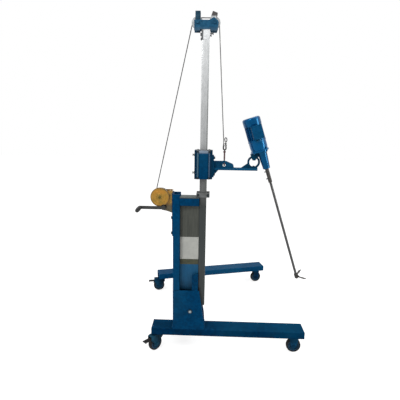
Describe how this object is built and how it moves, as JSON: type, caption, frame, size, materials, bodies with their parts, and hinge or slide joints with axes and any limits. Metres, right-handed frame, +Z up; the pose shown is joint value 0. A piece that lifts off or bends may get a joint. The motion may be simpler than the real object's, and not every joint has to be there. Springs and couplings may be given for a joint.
{
  "type": "elevating mixer",
  "caption": "Mobile stand with a winch-raised carriage on a square mast, carrying a tilting motor mixer with a long shaft and folding blades.",
  "frame": {"origin": "centre of the footprint of the whole object, on the floor under the wheels", "axes": "+Z up the mast, +X forward along the near leg and the arm, +Y from the near leg to the far leg"},
  "size_m": [1.2206, 1.384, 2.181],
  "materials": {
    "blue_paint": "gloss",
    "mixer_blue": "gloss",
    "pale_blue_panel": "satin",
    "grey_panel": "satin",
    "white_plate": "satin",
    "galvanised": "satin",
    "pale_grey": "satin",
    "zinc_fasteners": "satin",
    "dark_steel": "satin",
    "roller_steel": "satin",
    "yellow_zinc": "satin",
    "black_grip": "matte",
    "fan_plastic": "matte",
    "wire_rope": "satin",
    "hook_brown": "satin",
    "black_rubber": "matte",
    "pedal_black": "matte"
  },
  "bodies": {
    "stand": {"near_leg": "blue_paint", "far_leg": "blue_paint", "cross_beam": "blue_paint", "leg_end_plates": "blue_paint", "caster_top_plates": "blue_paint", "rigid_caster_forks": "blue_paint", "column_posts": "blue_paint", "column_base_plates": "blue_paint", "column_crossbar": "blue_paint", "column_upper_panel": "grey_panel", "column_lower_panel": "pale_blue_panel", "label_plate": "white_plate", "mast_clamp": "pale_grey", "mast_tube": "galvanised", "head_sleeve": "galvanised", "head_frame": "blue_paint", "rope_keepers": "dark_steel", "pulley_axles": "blue_paint", "winch_bracket": "blue_paint", "winch_frame": "yellow_zinc", "winch_gear_cover": "yellow_zinc", "winch_rope": "wire_rope", "rope_fall": "wire_rope", "frame_bolts": "zinc_fasteners"},
    "carriage": {"carriage_plates": "blue_paint", "carriage_cheeks": "blue_paint", "carriage_bolts": "zinc_fasteners", "arm_beam": "blue_paint", "tilt_ring": "blue_paint", "rope_hook": "hook_brown", "rope_thimble": "wire_rope"},
    "mixer_head": {"tilt_clamp": "blue_paint", "bearing_housing": "mixer_blue", "motor_adapter": "mixer_blue", "motor_body": "mixer_blue", "fan_cover": "mixer_blue", "terminal_box": "mixer_blue"},
    "fan": {"motor_fan": "fan_plastic"},
    "rotor": {"shaft_coupling": "dark_steel", "mixer_shaft": "dark_steel", "impeller_hub": "dark_steel"},
    "rear_blade": {"rear_blade": "dark_steel"},
    "front_blade": {"front_blade": "dark_steel"},
    "drum": {"winch_drum": "dark_steel"},
    "crank": {"crank_arm": "dark_steel"},
    "grip": {"crank_grip": "black_grip"},
    "left_pulley": {"left_pulley": "dark_steel"},
    "right_pulley": {"right_pulley": "dark_steel"},
    "upper_left_roller": {"upper_left_roller": "roller_steel"},
    "lower_left_roller": {"lower_left_roller": "roller_steel"},
    "upper_right_roller": {"upper_right_roller": "roller_steel"},
    "lower_right_roller": {"lower_right_roller": "roller_steel"},
    "near_left_fork": {"near_left_fork": "blue_paint"},
    "far_left_fork": {"far_left_fork": "blue_paint"},
    "near_left_wheel": {"near_left_wheel": "black_rubber"},
    "far_left_wheel": {"far_left_wheel": "black_rubber"},
    "near_right_wheel": {"near_right_wheel": "black_rubber"},
    "far_right_wheel": {"far_right_wheel": "black_rubber"},
    "near_left_pedal": {"near_left_pedal": "pedal_black"},
    "far_left_pedal": {"far_left_pedal": "pedal_black"}
  },
  "joints": [
    {"name": "carriage_slide", "type": "slide", "parent": "stand", "child": "carriage", "axis": [0, 0, 1], "range_m": [0, 0.56], "deforming": ["rope_fall"]},
    {"name": "tilt", "type": "hinge", "parent": "carriage", "child": "mixer_head", "pos_m": [0.22029, -0.53001, 1.3145], "axis": [0, 1, 0], "range_deg": [-12, 18.2]},
    {"name": "shaft_spin", "type": "hinge", "parent": "mixer_head", "child": "rotor", "pos_m": [0.30409, -0.53001, 1.27573], "axis": [-0.3123, 0, 0.95], "continuous": true},
    {"name": "fan_spin", "type": "hinge", "parent": "mixer_head", "child": "fan", "pos_m": [0.20274, -0.53001, 1.54558], "axis": [-0.3123, 0, 0.95], "continuous": true},
    {"name": "rear_blade_fold", "type": "hinge", "parent": "rotor", "child": "rear_blade", "pos_m": [0.54783, -0.51442, 0.56322], "axis": [-0.8227, 0.5, -0.2705], "range_deg": [0, 75]},
    {"name": "front_blade_fold", "type": "hinge", "parent": "rotor", "child": "front_blade", "pos_m": [0.54783, -0.5456, 0.56322], "axis": [0.8227, 0.5, 0.2705], "range_deg": [0, 75]},
    {"name": "drum_spin", "type": "hinge", "parent": "stand", "child": "drum", "pos_m": [-0.36571, -0.53001, 1.086], "axis": [0, 1, 0], "continuous": true},
    {"name": "crank_spin", "type": "hinge", "parent": "stand", "child": "crank", "pos_m": [-0.34119, -0.53001, 1.02043], "axis": [0, 1, 0], "continuous": true},
    {"name": "grip_spin", "type": "hinge", "parent": "crank", "child": "grip", "pos_m": [-0.49119, -0.59161, 1.02043], "axis": [0, 1, 0], "continuous": true},
    {"name": "left_pulley_spin", "type": "hinge", "parent": "stand", "child": "left_pulley", "pos_m": [-0.14371, -0.53001, 2.121], "axis": [0, 1, 0], "continuous": true},
    {"name": "right_pulley_spin", "type": "hinge", "parent": "stand", "child": "right_pulley", "pos_m": [-0.04371, -0.53001, 2.121], "axis": [0, 1, 0], "continuous": true},
    {"name": "upper_left_roller_spin", "type": "hinge", "parent": "carriage", "child": "upper_left_roller", "pos_m": [-0.12951, -0.53001, 1.377], "axis": [0, 1, 0], "continuous": true},
    {"name": "lower_left_roller_spin", "type": "hinge", "parent": "carriage", "child": "lower_left_roller", "pos_m": [-0.12951, -0.53001, 1.213], "axis": [0, 1, 0], "continuous": true},
    {"name": "upper_right_roller_spin", "type": "hinge", "parent": "carriage", "child": "upper_right_roller", "pos_m": [-0.05791, -0.53001, 1.377], "axis": [0, 1, 0], "continuous": true},
    {"name": "lower_right_roller_spin", "type": "hinge", "parent": "carriage", "child": "lower_right_roller", "pos_m": [-0.05791, -0.53001, 1.213], "axis": [0, 1, 0], "continuous": true},
    {"name": "near_left_swivel", "type": "hinge", "parent": "stand", "child": "near_left_fork", "pos_m": [-0.38371, -0.53001, 0], "axis": [0, 0, 1], "continuous": true},
    {"name": "near_left_wheel_spin", "type": "hinge", "parent": "near_left_fork", "child": "near_left_wheel", "pos_m": [-0.40914, -0.55825, 0.05], "axis": [0.7431, -0.6691, 0], "continuous": true},
    {"name": "near_left_brake", "type": "hinge", "parent": "near_left_fork", "child": "near_left_pedal", "pos_m": [-0.43657, -0.58872, 0.092], "axis": [0.7431, -0.6691, 0], "range_deg": [0, 8]},
    {"name": "far_left_swivel", "type": "hinge", "parent": "stand", "child": "far_left_fork", "pos_m": [-0.47636, 0.3702, 0], "axis": [0, 0, 1], "continuous": true},
    {"name": "far_left_wheel_spin", "type": "hinge", "parent": "far_left_fork", "child": "far_left_wheel", "pos_m": [-0.51378, 0.36361, 0.05], "axis": [0.1736, -0.9848, 0], "continuous": true},
    {"name": "far_left_brake", "type": "hinge", "parent": "far_left_fork", "child": "far_left_pedal", "pos_m": [-0.55416, 0.35648, 0.092], "axis": [0.1736, -0.9848, 0], "range_deg": [0, 8]},
    {"name": "near_right_wheel_spin", "type": "hinge", "parent": "stand", "child": "near_right_wheel", "pos_m": [0.55229, -0.53001, 0.05], "axis": [0, 1, 0], "continuous": true},
    {"name": "far_right_wheel_spin", "type": "hinge", "parent": "stand", "child": "far_right_wheel", "pos_m": [0.42603, 0.61876, 0.05], "axis": [-0.2656, 0.9641, 0], "continuous": true}
  ],
  "couplings": [
    {"joint": "fan_spin", "follows": "shaft_spin", "ratio": -4},
    {"joint": "drum_spin", "follows": "carriage_slide", "rad_per_m": -27.778},
    {"joint": "crank_spin", "follows": "carriage_slide", "rad_per_m": 101.85},
    {"joint": "left_pulley_spin", "follows": "carriage_slide", "rad_per_m": -35.714},
    {"joint": "right_pulley_spin", "follows": "carriage_slide", "rad_per_m": -35.714},
    {"joint": "upper_left_roller_spin", "follows": "carriage_slide", "rad_per_m": 76.923},
    {"joint": "lower_left_roller_spin", "follows": "carriage_slide", "rad_per_m": 76.923},
    {"joint": "upper_right_roller_spin", "follows": "carriage_slide", "rad_per_m": -76.923},
    {"joint": "lower_right_roller_spin", "follows": "carriage_slide", "rad_per_m": -76.923}
  ]
}
